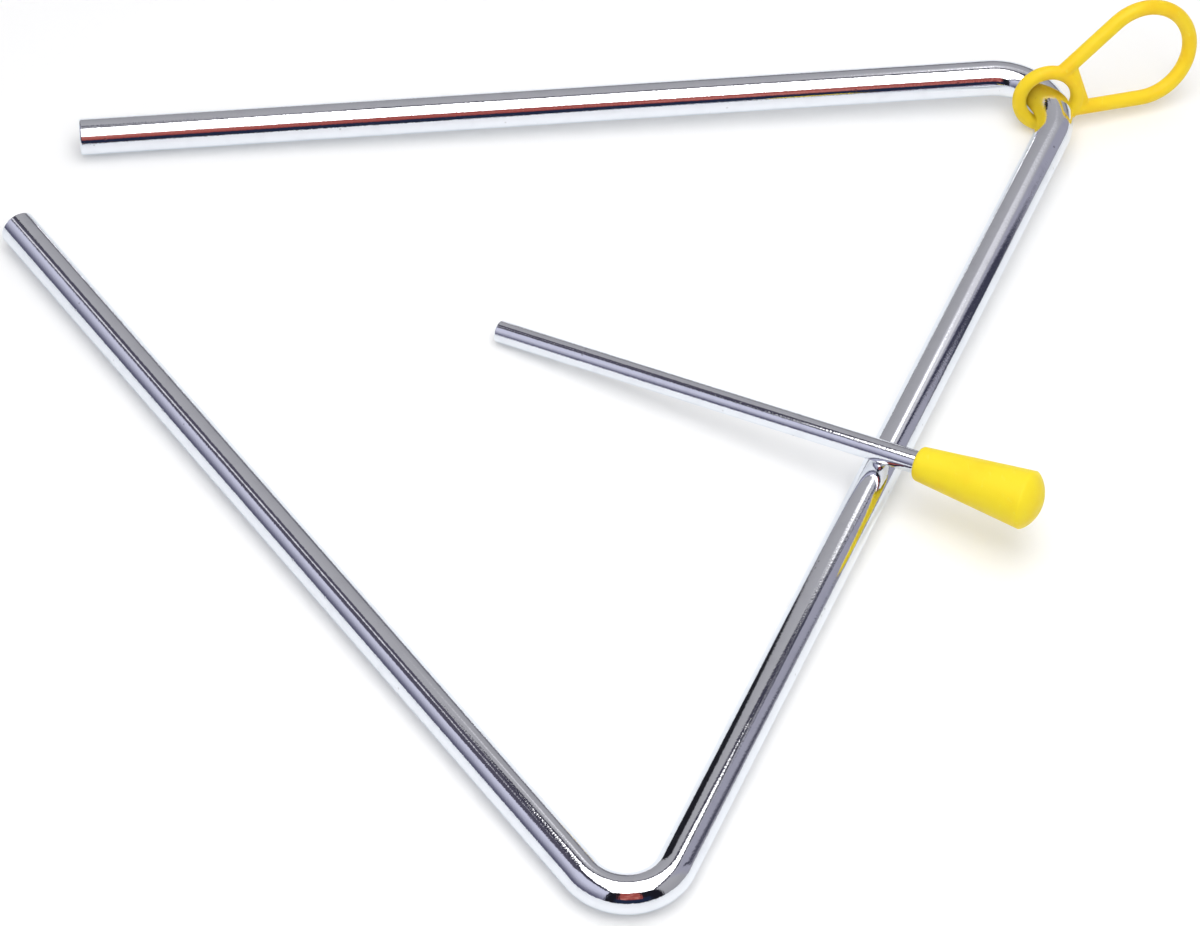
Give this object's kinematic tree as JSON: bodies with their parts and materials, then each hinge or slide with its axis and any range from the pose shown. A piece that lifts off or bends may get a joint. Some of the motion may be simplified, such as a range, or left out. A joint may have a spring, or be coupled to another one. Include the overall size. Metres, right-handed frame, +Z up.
{
  "type": "triangle percussion instrument",
  "caption": "Bent round-bar percussion triangle with one open corner, a moulded finger loop on its top corner and a gripped beater lying across it.",
  "frame": {"origin": "centre of the set's bounding box, seen from above, on the surface that the set lies on", "axes": "+X along the top side towards the hand loop, +Y from the low corner towards the top side, +Z up off the surface"},
  "size_m": [0.2648, 0.2158, 0.0268],
  "materials": {
    "bar_chrome": "polished plating over drawn steel bar",
    "loop_plastic": "soft satin moulded plastic",
    "rod_chrome": "bright plated drawn rod",
    "grip_plastic": "satin moulded plastic"
  },
  "bodies": {
    "bar": {"triangle_bar": "bar_chrome"},
    "hand_loop": {"hand_loop": "loop_plastic"},
    "beater": {"beater_rod": "rod_chrome", "beater_grip": "grip_plastic"}
  },
  "joints": [
    {"name": "hand_loop_swing", "type": "hinge", "parent": "bar", "child": "hand_loop", "pos_m": [0.09824, 0.0958, 0.00794], "axis": [0.0288, -0.9719, 0.2334], "range_deg": [-6, 115]},
    {"name": "beater_lift", "type": "slide", "parent": "bar", "child": "beater", "axis": [0, 0, 1], "range_m": [0, 0.1]}
  ]
}
